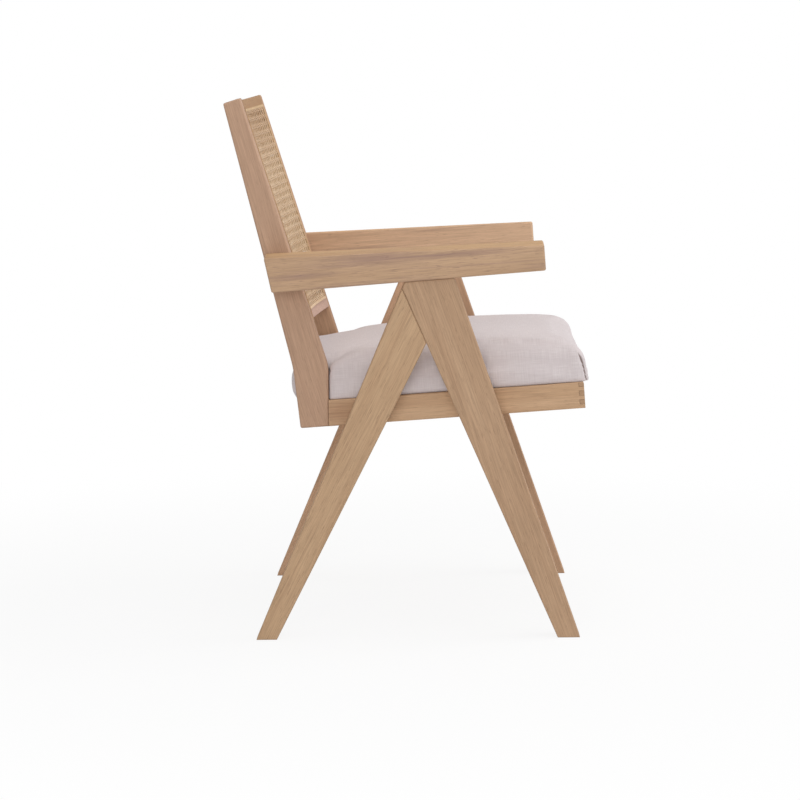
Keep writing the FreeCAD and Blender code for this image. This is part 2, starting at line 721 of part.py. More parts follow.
# Corner blocks: triangles glued into the corners of the seat frame.
for side, sign in sides.items():
    for end, corner, reach in block_corners:
        node = f"{end}_corner_block_{side}"
        body = new_body(node + "_blank")
        sketch = new_sketch(body, node + "_outline", "XY_Plane", "block_bottom")
        wall = f"{sign} * inner_plane"
        draw_polygon(sketch, [
            (wall, corner),
            (f"{wall} - {sign} * block_leg", corner),
            (wall, f"{corner} + {reach}")])
        pad(body, sketch, "block_thickness")
        place(body, ("0", "upright_front_reach", "seat_rear_height"), seat_turn)
        drilled(node, body, holes[node])

# Cleats: bars under the front and rear edges of the board, between the corner blocks.
cleat_half = "inner_plane - block_leg"
for end, near, far in (("front", "front_rail_back", "front_rail_back + cleat_depth"),
                       ("rear", "rear_rail_setback - cleat_depth", "rear_rail_setback")):
    cleat = seat_block(f"{end}_board_cleat", (f"-({cleat_half})", near, "block_bottom"),
                       (cleat_half, far, "block_top"))
    nodes.append(cleat)


def bow_arc_points(radius, half_from, half_to):
    """Ends of an arc of the bowed back, at two distances across the chair."""
    return [(x, f"bow_centre + sqrt(({radius}) * ({radius}) - ({x}) * ({x}))") for x in (half_from, half_to)]


def draw_bow(sketch, x_from, x_to, front, back):
    """The strip between two arcs about the bow's centre, between two distances across the chair.

    Front and back are depths measured from the front face of the back rails.
    """
    first = sketch.GeometryCount
    near = f"bow_radius + ({front})"
    far = f"bow_radius + ({back})"
    near_left, near_right = bow_arc_points(near, x_from, x_to)
    far_left, far_right = bow_arc_points(far, x_from, x_to)
    centre = ("0", "bow_centre")
    draw_arc(sketch, centre, near, near_right, near_left)
    draw_arc(sketch, centre, far, far_right, far_left)
    sketch.addGeometry(Part.LineSegment(vector(near_left), vector(far_left)), False)
    sketch.addGeometry(Part.LineSegment(vector(near_right), vector(far_right)), False)
    for line, end, arc, arc_end in ((2, 1, 0, 2), (2, 2, 1, 2), (3, 1, 0, 1), (3, 2, 1, 1)):
        sketch.addConstraint(Sketcher.Constraint("Coincident", first + line, end, first + arc, arc_end))
    for line, end, point in ((2, 1, near_left), (2, 2, far_left), (3, 1, near_right), (3, 2, far_right)):
        fix_point(sketch, first + line, end, point)


def back_piece(name, x_span, depth_span, height_span):
    """A piece of the bowed back: an arc in plan, carried straight up the leaning panel."""
    body = new_body(name)
    sketch = new_sketch(body, name + "_plan", "XY_Plane", height_span[0])
    draw_bow(sketch, *x_span, *depth_span)
    pad(body, sketch, f"({height_span[1]}) - ({height_span[0]})")
    place(body, ("0", "upright_front_reach", "upright_bend_height"), back_turn)
    return body


def back_groove(body, name, x_span, height_span):
    """A groove for the spline in the front face of a piece of the back."""
    sketch = new_sketch(body, name + "_plan", "XY_Plane", height_span[0])
    draw_bow(sketch, *x_span, "-groove_depth", "groove_depth")
    pocket(body, sketch, f"({height_span[1]}) - ({height_span[0]})")


full_span = ("-inner_plane", "inner_plane")
rail_depth = ("0", "back_rail_thickness")
groove_reach = "stile_groove + groove_half"
groove_span = (f"-({groove_reach})", groove_reach)

# Curved back rails, each with a groove for the cane along its front face.
for node, low, high, groove in (("back_top_rail", "top_rail_bottom", "back_length", "top_groove"),
                                ("back_lower_rail", "lower_rail_rise", "lower_rail_top", "lower_groove")):
    body = back_piece(node + "_blank", full_span, rail_depth, (low, high))
    back_groove(body, node + "_groove", groove_span, (f"{groove} - groove_half", f"{groove} + groove_half"))
    for side, sign in sides.items():
        turn_up = ("lower_groove", high) if node == "back_lower_rail" else (low, "top_groove")
        edges = sorted((f"{sign} * (stile_groove - groove_half)", f"{sign} * (stile_groove + groove_half)"),
                       key=number)
        back_groove(body, f"{node}_corner_{side}", edges, turn_up)
    outer = number("back_length" if node == "back_top_rail" else "lower_rail_rise")
    round_edges(body, node + "_ease", "back_rail_ease", lambda edge: edge.Length > span
                and abs(edge.BoundBox.ZMin - outer) + abs(edge.BoundBox.ZMax - outer) < tiny)
    drilled(node, body, holes[node])

# Stiles of the cane frame, glued and screwed to the inner faces of the uprights.
for side, sign in sides.items():
    node = f"back_stile_{side}"
    across = sorted((f"{sign} * stile_inner", f"{sign} * inner_plane"), key=number)
    body = back_piece(node + "_blank", across, rail_depth, ("lower_rail_top", "top_rail_bottom"))
    edges = sorted((f"{sign} * (stile_groove - groove_half)", f"{sign} * (stile_groove + groove_half)"),
                   key=number)
    back_groove(body, node + "_groove", edges, ("lower_rail_top", "top_rail_bottom"))
    drilled(node, body, holes[node])

def back_bar(name, low, high):
    """A straight bar in the leaning back's own directions, between two opposite corners."""
    bar = doc.addObject("Part::Box", name)
    for size, near, far in zip(("Length", "Width", "Height"), low, high):
        bind(bar, size, f"({far}) - ({near})")
    y, z = in_back(low[1], low[2])
    place(bar, (low[0], y, z), back_turn)
    return bar


# Cane sheet, lying on the front of its frame, opened in a plain grid, and the splines that lock its edges.
cane_columns = 12
cane_rows = 10
cane_half = "stile_groove - groove_half"
cane_low, cane_high = "lower_groove + groove_half", "top_groove - groove_half"
sheet = back_piece("cane_sheet", (f"-({cane_half})", cane_half), ("-cane_thickness", "0"), (cane_low, cane_high))
column_pitch = f"2 * ({cane_half}) / {cane_columns}"
row_pitch = f"(({cane_high}) - ({cane_low})) / {cane_rows}"
margin_share = "(1 - cane_opening_share) / 2"
columns, rows = [], []
for column in range(cane_columns):
    starts = f"-({cane_half}) + ({column} + {margin_share}) * {column_pitch}"
    columns.append(back_bar(f"cane_column_{column}", (starts, "-back_bow", cane_low),
                            (f"{starts} + cane_opening_share * {column_pitch}", "2 * back_bow", cane_high)))
for row in range(cane_rows):
    starts = f"{cane_low} + ({row} + {margin_share}) * {row_pitch}"
    rows.append(back_bar(f"cane_row_{row}", (f"-({cane_half})", "-back_bow", starts),
                         (cane_half, "2 * back_bow", f"{starts} + cane_opening_share * {row_pitch}")))
openings = doc.addObject("Part::MultiCommon", "cane_openings")
openings.Shapes = [fuse("cane_column_bars", columns), fuse("cane_row_bars", rows)]
drilled("cane_panel", sheet, [openings])
spline_depth = ("-cane_thickness", "groove_depth - spline_gap")
spline_reach = "stile_groove + spline_half"
for end, groove in (("top", "top_groove"), ("bottom", "lower_groove")):
    nodes.append(back_piece(f"cane_spline_{end}", (f"-({spline_reach})", spline_reach), spline_depth,
                            (f"{groove} - spline_half", f"{groove} + spline_half")))
for side, sign in sides.items():
    edges = sorted((f"{sign} * (stile_groove - spline_half)", f"{sign} * (stile_groove + spline_half)"),
                   key=number)
    nodes.append(back_piece(f"cane_spline_{side}", edges, spline_depth, (cane_low, cane_high)))

# Cushion sections from front to back. The first three shares place a section behind the front face:
# of the corner, of the seat and of the tongue. The others are shares of the side height where the
# section starts and ends, of the draw-in and of the crown.
cushion_station_shares = [
    (0.0, 0.0, 0.0, 0.18, 0.80, 1.6, 0.12),
    (0.2, 0.0, 0.0, 0.05, 0.93, 0.6, 0.20),
    (1.0, 0.0, 0.0, 0.00, 1.00, 0.0, 0.50),
    (4.0, 0.0, 0.0, 0.00, 1.00, 0.5, 0.90),
    (0.0, 0.5, 0.0, 0.00, 1.00, 1.0, 1.00),
    (0.0, 0.78, 0.0, 0.00, 1.00, 0.6, 0.95),
    (0.0, 1.0, 0.0, 0.00, 1.00, 0.0, 0.70),
    (-0.25, 1.0, 1.0, 0.05, 0.90, 0.0, 0.45),
    (0.0, 1.0, 1.0, 0.18, 0.78, 1.0, 0.30)]


def draw_section(sketch, half, low, high, crown):
    """A cushion section: flat underside, bulging sides and a crowned top, as a line and three arcs."""
    edge = f"(({half}) - cushion_bulge)"
    corners = [(f"-{edge}", low), (edge, low), (edge, high), (f"-{edge}", high)]
    tall = f"(({high}) - ({low}))"
    side_radius = f"({tall} * {tall} / 4 + cushion_bulge * cushion_bulge) / (2 * cushion_bulge)"
    top_radius = f"({edge} * {edge} + ({crown}) * ({crown})) / (2 * ({crown}))"
    middle = f"(({high}) + ({low})) / 2"
    sketch.addGeometry(Part.LineSegment(vector(corners[0]), vector(corners[1])), False)
    draw_arc(sketch, (f"({half}) - ({side_radius})", middle), side_radius, corners[1], corners[2])
    draw_arc(sketch, ("0", f"({high}) + ({crown}) - ({top_radius})"), top_radius, corners[2], corners[3])
    draw_arc(sketch, (f"({side_radius}) - ({half})", middle), side_radius, corners[3], corners[0])
    for curve in range(len(corners)):
        following = (curve + 1) % len(corners)
        sketch.addConstraint(Sketcher.Constraint("Coincident", curve, 2, following, 1))
        fix_point(sketch, curve, 2, corners[following])


def cushion_form(name, inset):
    """The notched cushion, drawn in all round by the inset."""
    body = new_body(name + "_pad")
    sections = []
    last = len(cushion_station_shares) - 1
    for index, shares in enumerate(cushion_station_shares):
        corner_share, seat_share, tongue_share, low_share, high_share, draw_share, crown_share = shares
        behind = (f"{corner_share} * cushion_corner + {seat_share} * cushion_front"
                  f" + {tongue_share} * cushion_tongue_reach")
        end_inset = {0: f" - ({inset})", last: f" + ({inset})"}.get(index, "")
        sketch = new_sketch(body, f"{name}_section_{index}", "XZ_Plane",
                            f"cushion_front - ({behind}){end_inset}")
        draw_section(sketch, f"cushion_half - {draw_share} * cushion_draw_in - ({inset})",
                     f"cushion_lift + {low_share} * cushion_side_height + ({inset})",
                     f"cushion_lift + {high_share} * cushion_side_height - ({inset})",
                     f"{crown_share} * cushion_crown")
        sections.append(sketch)
    loft = body.newObject("PartDesign::AdditiveLoft", name + "_loft")
    loft.Profile = sections[0]
    loft.Sections = sections[1:]
    loft.Ruled = True
    place(body, ("0", "upright_front_reach", "seat_rear_height"), seat_turn)
    tall = "(cushion_side_height + cushion_crown)"
    notch_front = f"-cushion_back_gap - cushion_side_height * tan(seat_angle) - ({inset})"
    notches = []
    for side, sign in sides.items():
        across = sorted((f"{sign} * (tongue_half - ({inset}))", f"{sign} * side_plane"), key=number)
        notches.append(seat_block(f"{name}_notch_{side}",
                                  (across[0], notch_front, f"-{tall}"),
                                  (across[1], "2 * cushion_tongue_reach", f"2 * {tall}")))
    notched = doc.addObject("Part::Cut", name)
    notched.Base = body
    notched.Tool = fuse(name + "_notches", notches)
    return notched


# Loose seat cushion: a sewn cover over one block of foam, notched round the uprights.
cover_outside = cushion_form("cushion_outside", "0")
cover_inside = cushion_form("cushion_cavity", "cover_thickness")
cover = doc.addObject("Part::Cut", "cushion_cover")
cover.Base = cover_outside
cover.Tool = cover_inside
nodes.append(cover)
nodes.append(cushion_form("cushion_foam", "cover_thickness + foam_gap"))

# Groups of like fixings.
for label, shapes in dowels.items():
    group(label, shapes)
for label, shapes in (("arm_screws", arm_screws), ("arm_screw_plugs", arm_plugs), ("leg_bolts", leg_bolts),
                      ("leg_bolt_washers", leg_washers), ("leg_bolt_inserts", leg_inserts),
                      ("stile_screws", stile_screws), ("board_screws", board_screws)):
    group(label, shapes)

doc.recompute()

# Nothing is written unless every object is sound.
for item in doc.Objects:
    if "Invalid" in item.State or "Error" in item.State:
        raise ValueError(f"{item.Label}: {item.State}")
for node in nodes:
    if node.Shape.isNull() or not node.Shape.isValid():
        raise ValueError(f"{node.Label}: shape is not valid")
os.makedirs("parts", exist_ok=True)
for node in nodes:
    node.Shape.exportStep(f"parts/{node.Label}.step")
    box = node.Shape.BoundBox
    print(f"{node.Label}: {len(node.Shape.Solids)} solids, {node.Shape.Volume / 1000:.1f} cm3,"
          f" y {box.YMin:.1f}..{box.YMax:.1f}, z {box.ZMin:.1f}..{box.ZMax:.1f}")
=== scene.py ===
import math
import bpy
import numpy as np
from mathutils import Matrix, Vector


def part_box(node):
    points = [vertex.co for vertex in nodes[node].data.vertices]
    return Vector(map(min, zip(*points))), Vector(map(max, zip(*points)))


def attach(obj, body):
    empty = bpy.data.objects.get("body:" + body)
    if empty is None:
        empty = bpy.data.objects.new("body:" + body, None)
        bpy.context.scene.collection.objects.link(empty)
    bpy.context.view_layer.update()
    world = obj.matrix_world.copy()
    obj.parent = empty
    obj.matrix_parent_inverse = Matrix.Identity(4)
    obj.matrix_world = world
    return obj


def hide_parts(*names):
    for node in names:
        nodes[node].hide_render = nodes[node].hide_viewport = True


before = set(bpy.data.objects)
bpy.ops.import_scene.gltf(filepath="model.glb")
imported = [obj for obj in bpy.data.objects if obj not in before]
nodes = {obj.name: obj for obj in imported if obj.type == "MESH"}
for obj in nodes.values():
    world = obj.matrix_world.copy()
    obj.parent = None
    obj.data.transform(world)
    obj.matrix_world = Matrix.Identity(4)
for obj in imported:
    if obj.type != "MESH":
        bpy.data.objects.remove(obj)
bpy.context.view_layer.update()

# Legs. Each side stands on a V of two planks: the front leg runs up to the armrest and the rear leg
# butts against its rear edge. They are light oiled hardwood, sawn so that the grain runs along each
# leg, with lightly rounded edges.
thread_dark = (0.82, 0.81, 0.8, 1)
thread_light = (1.11, 1.11, 1.11, 1)
pore_shade = 0.6
end_grain_shade = 0.62
streak_raggedness = 1.5
wood_roughness = 0.6


def srgb(red, green, blue):
    """Linear colour of a screen colour given from 0 to 255: a line near black and a power above."""
    share = np.array((red, green, blue)) / 255
    return (*np.where(share < 0.04045, share / 12.92, ((share + 0.055) / 1.055) ** 2.4), 1)


def shaded(colour, share):
    """The colour times the share."""
    return tuple(share * part for part in colour[:3]) + (1,)


def set_sockets(owner, node, inputs):
    """Sets a node's sockets from numbers, or links them from other nodes' sockets."""
    for socket, value in inputs.items():
        if isinstance(value, bpy.types.NodeSocket):
            owner.node_tree.links.new(value, node.inputs[socket])
        else:
            node.inputs[socket].default_value = value


def add_node(owner, kind, inputs=(), **settings):
    """A new shader node of a material or a world, with its settings and sockets filled in."""
    made = owner.node_tree.nodes.new(kind)
    for name, value in settings.items():
        setattr(made, name, value)
    set_sockets(owner, made, dict(inputs))
    return made


def worked(owner, operation, *values):
    """Result of one step of arithmetic on numbers and sockets."""
    made = add_node(owner, "ShaderNodeMath", enumerate(values), operation=operation)
    return made.outputs["Value"]


def new_material(name):
    """A new material and its surface shader."""
    material = bpy.data.materials.new(name)
    material.use_nodes = True
    return material, material.node_tree.nodes["Principled BSDF"]


def blended(material, share, first, second, mode="MIX"):
    """Colour that goes from the first to the second as the share goes from 0 to 1."""
    factor_socket, first_socket, second_socket, colour_socket = 0, 6, 7, 2
    inputs = {factor_socket: share, first_socket: first, second_socket: second}
    made = add_node(material, "ShaderNodeMix", inputs, data_type="RGBA", blend_type=mode)
    return made.outputs[colour_socket]


def spread(material, value, low, high, reach=1.0):
    """Value stretched so that low becomes 0 and high becomes the reach, and held there beyond them."""
    inputs = {"Value": value, "From Min": low, "From Max": high, "To Max": reach}
    return add_node(material, "ShaderNodeMapRange", inputs, clamp=True).outputs["Result"]


def along_grain(material, grain, place, scale):
    """Object coordinates, measured from the place, turned so that x runs with the grain, and divided
    by the scale."""
    turn = Vector(grain).to_track_quat("X", "Z").to_euler()
    where = add_node(material, "ShaderNodeTexCoord").outputs["Object"]
    inputs = {"Vector": where, "Location": place, "Rotation": turn, "Scale": scale}
    return add_node(material, "ShaderNodeMapping", inputs, vector_type="TEXTURE").outputs["Vector"]


def fibre(material, grain, size, detail=3.0, twist=0.0, place=(0, 0, 0)):
    """Noise drawn out along the grain: size is the length and the width of its marks."""
    length, width = size
    where = along_grain(material, grain, place, (length, width, width))
    inputs = {"Vector": where, "Scale": 1.0, "Detail": detail, "Roughness": 0.55, "Distortion": twist}
    return add_node(material, "ShaderNodeTexNoise", inputs).outputs["Fac"]


def oiled_wood(name, grain, pale, deep, vein, vein_share=0.3, place=(0, 0, 0), heartwood_and_shadows=(), top_light_tint=None):
    """Hardwood with slow bands of colour, darker veins, fine fibres, short pores and dark end grain.

    Each is noise drawn out along the grain, at its own size; end grain is where the surface faces
    along the grain. Each streak of heartwood and shadow is a darker ellipse whose edge the noise makes
    ragged: the place of its middle, and its length and width. On the arms they are heartwood; on the
    side rails one is painted shadow. The tint given for the tops is painted light: it is multiplied
    into faces that look up, a yellower tone where the light falls on the tops.
    """
    material, surface = new_material(name)
    bands = fibre(material, grain, size=(0.5, 0.03), detail=2.0, twist=0.3, place=place)
    veins = fibre(material, grain, size=(0.3, 0.008), detail=3.0, twist=0.9, place=place)
    fibres = fibre(material, grain, size=(0.05, 0.0011), detail=4.0, place=place)
    pores = fibre(material, grain, size=(0.016, 0.0008), detail=1.0, place=place)
    veins = spread(material, veins, low=0.54, high=0.74, reach=vein_share)
    pores = spread(material, pores, low=0.63, high=0.74, reach=0.48)
    colour = blended(material, spread(material, bands, low=0.3, high=0.7), pale, deep)
    colour = blended(material, veins, colour, vein)
    for middle, length, width in heartwood_and_shadows:
        near = along_grain(material, grain, middle, (length, 1, width))
        off = add_node(material, "ShaderNodeVectorMath", {0: near}, operation="LENGTH")
        rag = fibre(material, grain, size=(0.12, 0.004), detail=3.0, twist=0.6)
        off = worked(material, "MULTIPLY_ADD", rag, streak_raggedness, off.outputs["Value"])
        streak = spread(material, off, low=1.75, high=0.7, reach=0.65)
        colour = blended(material, streak, colour, vein)
    threads = spread(material, fibres, low=0.3, high=0.7)
    threads = blended(material, threads, thread_dark, thread_light)
    colour = blended(material, 1.0, colour, threads, "MULTIPLY")
    colour = blended(material, pores, colour, shaded(vein, pore_shade))
    facing = add_node(material, "ShaderNodeNewGeometry").outputs["Normal"]
    along = add_node(material, "ShaderNodeVectorMath", {0: facing, 1: Vector(grain).normalized()},
                     operation="DOT_PRODUCT").outputs["Value"]
    cut = spread(material, worked(material, "ABSOLUTE", along), low=0.75, high=0.95, reach=0.35)
    colour = blended(material, cut, colour, shaded(vein, end_grain_shade))
    # Painted light: faces that look up get the top tint, a yellower tone where the light falls on them.
    if top_light_tint:
        upward = add_node(material, "ShaderNodeSeparateXYZ", {"Vector": facing}).outputs["Z"]
        tinted = blended(material, 1.0, colour, top_light_tint, "MULTIPLY")
        colour = blended(material, spread(material, upward, low=0.6, high=0.95), colour, tinted)
    unevenness = spread(material, fibres, low=0.2, high=0.9, reach=0.22)
    relief = worked(material, "SUBTRACT", fibres, pores)
    bump = add_node(material, "ShaderNodeBump", {"Height": relief, "Strength": 0.28, "Distance": 0.0004})
    set_sockets(material, surface, {
        "Base Color": colour, "Roughness": worked(material, "ADD", wood_roughness, unevenness),
        "Normal": bump.outputs["Normal"], "Specular IOR Level": 0.16})
    return material


def dress(material, *names):
    """Gives one material to the named pieces of the frame."""
    for name in names:
        mesh = nodes[name].data
        mesh.materials.clear()
        mesh.materials.append(material)


leg_vein = srgb(148, 114, 88)
front_leg = {"grain": (0, 0.339, 1), "vein": leg_vein}
rear_leg = {"grain": (0, -0.515, 1), "vein": leg_vein, "place": (0.3, 0.1, 0)}
dress(oiled_wood("front_leg_wood", pale=srgb(186, 155, 126), deep=srgb(173, 141, 113), **front_leg),
      "front_leg_right")
dress(oiled_wood("rear_leg_wood", pale=srgb(192, 161, 129), deep=srgb(179, 147, 116), **rear_leg),
      "rear_leg_right")
# The far legs are painted paler than the near ones: painted light that lifts the shade under the seat on
# their inner faces.
dress(oiled_wood("front_leg_wood_left_painted_light", pale=srgb(193, 158, 129), deep=srgb(179, 143, 115), **front_leg),
      "front_leg_left")
dress(oiled_wood("rear_leg_wood_left_painted_light", pale=srgb(204, 168, 138), deep=srgb(190, 153, 124), **rear_leg),
      "rear_leg_left")

# Armrests. Straight bars, deeper at the back, that lie on the front legs and are screwed to the outer
# faces of the back uprights. Streaks of grey violet heartwood run along the bar, and the top is
# painted yellower: painted light, as the light falls on it.
arm_slope = (0, -1, 0.07)
arm_vein = srgb(146, 118, 110)
arm_top_light_tint = (0.99, 0.95, 0.82, 1)
arm_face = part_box("armrest_right")[0].x
arm_hearts = [((arm_face, 0.035, 0.567), 0.115, 0.014), ((arm_face, 0.15, 0.543), 0.07, 0.007),
              ((arm_face, -0.09, 0.574), 0.1, 0.006)]
dress(oiled_wood("arm_wood", arm_slope, pale=srgb(193, 161, 131), deep=srgb(182, 150, 121),
                 vein=arm_vein, vein_share=0.6, heartwood_and_shadows=arm_hearts, top_light_tint=arm_top_light_tint), "armrest_right")
# The far armrest is painted paler, painted light that lifts the shade on its inner face; its veins are
# fainter and it has no heartwood streaks.
dress(oiled_wood("arm_wood_left_painted_light", arm_slope, pale=srgb(214, 180, 149), deep=srgb(204, 170, 140),
                 vein=arm_vein, vein_share=0.35, top_light_tint=arm_top_light_tint), "armrest_left")

# Back uprights. Planks that stand beside the seat and bend to lean back, cut from wider boards, so the
# grain runs straight through the leaning part. Their wood is a little pinker. The far upright is painted
# more orange: painted shade, the warm shade on its inner face.
upright_slope = (0, 0.28, 1)
dress(oiled_wood("upright_wood", upright_slope, pale=srgb(188, 155, 131), deep=srgb(178, 145, 121),
                 vein=srgb(149, 114, 94)), "back_upright_right")
dress(oiled_wood("upright_wood_left_painted_shade", upright_slope, pale=srgb(190, 153, 124), deep=srgb(179, 142, 113),
                 vein=srgb(150, 112, 86)), "back_upright_left")

# Seat frame. Side rails are butted to the uprights and finger jointed to the front rail at the corners;
# the rear rail runs between the uprights. The wood is warm and yellow. A darker patch towards the back
# of the side rails is painted shadow, where the rear legs shade them.
across_chair = (1, 0, 0)
rail_slope = (0, -1, 0.062)
rail_colours = {"pale": srgb(201, 168, 136), "deep": srgb(187, 153, 121), "vein": srgb(156, 118, 92)}
rail_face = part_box("seat_side_rail_right")[0].x
# Painted shadow of the rear leg: a darker patch towards the back of the side rails.
rail_leg_shadow = [((rail_face, 0.1, 0.335), 0.08, 0.03)]


def both(stem):
    """Names of a piece's right and left copies."""
    return [stem + "_right", stem + "_left"]


dress(oiled_wood("side_rail_wood", rail_slope, heartwood_and_shadows=rail_leg_shadow, **rail_colours),
      *both("seat_side_rail"))
dress(oiled_wood("cross_rail_wood", across_chair, **rail_colours), "seat_front_rail", "seat_rear_rail")

# Seat board and its supports. A plywood board lies flush in the seat frame on glued corner blocks and
# cleats, and screws hold it down. Wooden dowels pin the chair's joints, and plugs cover the arm screws.
dress(oiled_wood("plywood", across_chair, pale=srgb(214, 188, 150), deep=srgb(202, 172, 132),
                 vein=srgb(176, 142, 102)), "seat_board")
dress(oiled_wood("block_wood", across_chair, pale=srgb(208, 180, 140), deep=srgb(192, 158, 118),
                 vein=srgb(166, 128, 92)),
      *both("front_corner_block"), *both("rear_corner_block"), "front_board_cleat", "rear_board_cleat")
dress(oiled_wood("dowel_wood", across_chair, pale=srgb(204, 172, 134), deep=srgb(186, 150, 114),
                 vein=srgb(158, 120, 88)),
      "leg_joint_dowels", "arm_dowels", "side_rail_dowels", "rear_rail_dowels", "back_rail_dowels",
      "arm_screw_plugs")

# Fixings. Plated steel screws and bolts, with washers, and brass inserts in the legs that the bolts
# run into. They are turned and pressed, and few of them show once the chair is together.
bright_metal = srgb(235, 233, 228)
metal_roughness = 0.3


def metal(name, colour):
    """Worked metal: short noise across the piece makes fine turning marks and an uneven polish."""
    material, surface = new_material(name)
    marks = fibre(material, across_chair, size=(0.0006, 0.004), detail=4.0)
    unevenness = spread(material, marks, low=0.2, high=0.8, reach=0.2)
    set_sockets(material, surface, {
        "Base Color": blended(material, marks, colour, bright_metal),
        "Roughness": worked(material, "ADD", metal_roughness, unevenness), "Metallic": 1.0})
    return material


dress(metal("steel", srgb(176, 178, 182)), "arm_screws", "leg_bolts", "leg_bolt_washers",
      "stile_screws", "board_screws")
dress(metal("brass", srgb(196, 164, 92)), "leg_bolt_inserts")

# Frame of the cane back. Two rails sawn to a curve and two stiles, dowelled and screwed between the
# uprights, so that the back is hollow across the sitter's shoulders.
back_lean = math.radians(17.2)
up_back = (0, math.sin(back_lean), math.cos(back_lean))
dress(oiled_wood("back_rail_wood", across_chair, pale=srgb(173, 139, 107), deep=srgb(161, 128, 97),
                 vein=srgb(138, 102, 76)), "back_top_rail")
dress(oiled_wood("back_rail_wood_lower", across_chair, pale=srgb(203, 172, 157),
                 deep=srgb(191, 160, 144), vein=srgb(164, 130, 112)), "back_lower_rail")
dress(oiled_wood("stile_wood", up_back, pale=srgb(204, 170, 132), deep=srgb(188, 152, 116),
                 vein=srgb(160, 122, 92)), *both("back_stile"))

# Cane. A ready woven sheet of split cane, pressed into a groove round the front of the frame: pairs of
# upright and level strands, and slanting strands both ways that cross midway between the crossings
# of the pairs and leave eight sided holes.
bend_height = 0.403
upright_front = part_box("seat_side_rail_left")[1].y
inner_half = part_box("back_upright_left")[0].x
bow_depth = 0.022
bow_radius = (inner_half ** 2 + bow_depth ** 2) / (2 * bow_depth)
cane_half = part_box("cane_panel")[1].x
cane_low = 0.0741
cane_high = 0.3979
weave_pitch = 0.01225
pair_half = 0.0014
strand_width = 0.0022
slant_width = 0.0025
strand_thickness = 0.0006
wave_height = 0.00045
slant_height = 0.00072
sheet_depth = 0.0011
tuck = 0.001
steps_per_pitch = 8
profile_across_shares = np.array((-0.5, -0.28, 0.28, 0.5))
profile_height_shares = np.array((-0.5, 0.5, 0.5, -0.5))
cane_pale = srgb(214, 186, 152)
cane_deep = srgb(196, 164, 128)
cane_fleck = srgb(160, 122, 84)
# Painted shade: the cane is painted darker and browner between these heights, towards the top of the
# back.
cane_top_shade = srgb(166, 124, 84)
top_shade_from = 0.68
top_shade_to = 0.79


def placed(name, data):
    """A new object in the scene, at the origin."""
    made = bpy.data.objects.new(name, data)
    bpy.context.scene.collection.objects.link(made)
    return made


def on_back(across, rise, depth):
    """Points of the bowed, leaning back: an arc across the chair, straight up the lean.

    Across is measured along the arc, rise up the panel and depth out of its front face.
    """
    angle = across / bow_radius
    x = (bow_radius - depth) * np.sin(angle)
    inward = bow_depth - bow_radius + (bow_radius - depth) * np.cos(angle)
    y = upright_front + inward * math.cos(back_lean) + rise * math.sin(back_lean)
    z = bend_height - inward * math.sin(back_lean) + rise * math.cos(back_lean)
    return np.stack(np.broadcast_arrays(x, y, z), -1)


def strand_mesh(name, across, rise, depth, width):
    """Strands as flat ribbons with a rounded front, one row of arrays for each strand.

    A profile of four points, square to the strand's course, is carried along the course.
    """
    course = np.stack((np.gradient(across, axis=1), np.gradient(rise, axis=1)))
    course = course / np.linalg.norm(course, axis=0)
    aside = profile_across_shares * width
    points = on_back(across[..., None] - course[1][..., None] * aside,
                     rise[..., None] + course[0][..., None] * aside,
                     depth[..., None] + profile_height_shares * strand_thickness)
    rows, steps, corners = points.shape[:3]
    index = np.arange(rows * steps * corners).reshape(rows, steps, corners)
    after = np.roll(index, -1, axis=2)
    faces = np.stack((index[:, :-1], after[:, :-1], after[:, 1:], index[:, 1:]), -1).reshape(-1, 4)
    ends = np.concatenate((index[:, 0, ::-1], index[:, -1]))
    mesh = bpy.data.meshes.new(name)
    mesh.from_pydata(points.reshape(-1, 3), [], np.concatenate((faces, ends)).tolist())
    tint = np.random.default_rng(len(name)).random((rows, 1, 1))
    tint = np.broadcast_to(tint, (rows, steps, corners)).ravel().astype(np.float32)
    mesh.attributes.new("tint", "FLOAT", "POINT").data.foreach_set("value", tint)
    mesh.shade_smooth()
    return placed(name, mesh)


def split_cane(name):
    """Glossy straw coloured skin of cane, each strand of its own shade, with flecks of noise, and
    browner as it rises to the top."""
    material, surface = new_material(name)
    tint = add_node(material, "ShaderNodeAttribute", attribute_name="tint").outputs["Fac"]
    flecks = fibre(material, (1, 0, 1), size=(0.004, 0.004), detail=4.0)
    flecks = spread(material, flecks, low=0.52, high=0.75, reach=0.55)
    where = add_node(material, "ShaderNodeTexCoord").outputs["Object"]
    height = add_node(material, "ShaderNodeSeparateXYZ", {"Vector": where}).outputs["Z"]
    # Painted shade, darker and browner towards the top of the back.
    top_shade = spread(material, height, low=top_shade_from, high=top_shade_to, reach=0.6)
    colour = blended(material, tint, cane_pale, cane_deep)
    colour = blended(material, flecks, colour, cane_fleck)
    colour = blended(material, top_shade, colour, cane_top_shade)
    set_sockets(material, surface, {"Base Color": colour, "Roughness": 0.42})
    return material


arc_half = bow_radius * math.asin(cane_half / bow_radius) + tuck
weave_low, weave_high = cane_low - tuck, cane_high + tuck
weave_middle = (weave_low + weave_high) / 2
weave_half = weave_high - weave_middle
columns = np.arange(-int(arc_half / weave_pitch), int(arc_half / weave_pitch) + 1)
levels = np.arange(-int(weave_half / weave_pitch), int(weave_half / weave_pitch) + 1)
wave_turn = 2 * math.pi / weave_pitch
up_steps = int((weave_high - weave_low) / weave_pitch * steps_per_pitch)
over_steps = int(2 * arc_half / weave_pitch * steps_per_pitch)
up = np.linspace(weave_low, weave_high, up_steps)[None]
over = np.linspace(-arc_half, arc_half, over_steps)[None]
pair = np.array((-1.0, 1.0))
stand_side = np.tile(pair, len(columns))[:, None]
stand_place = np.repeat(columns, 2)[:, None] * weave_pitch + stand_side * pair_half
stand_depth = sheet_depth + stand_side * wave_height * np.sin(wave_turn * (up - weave_middle))
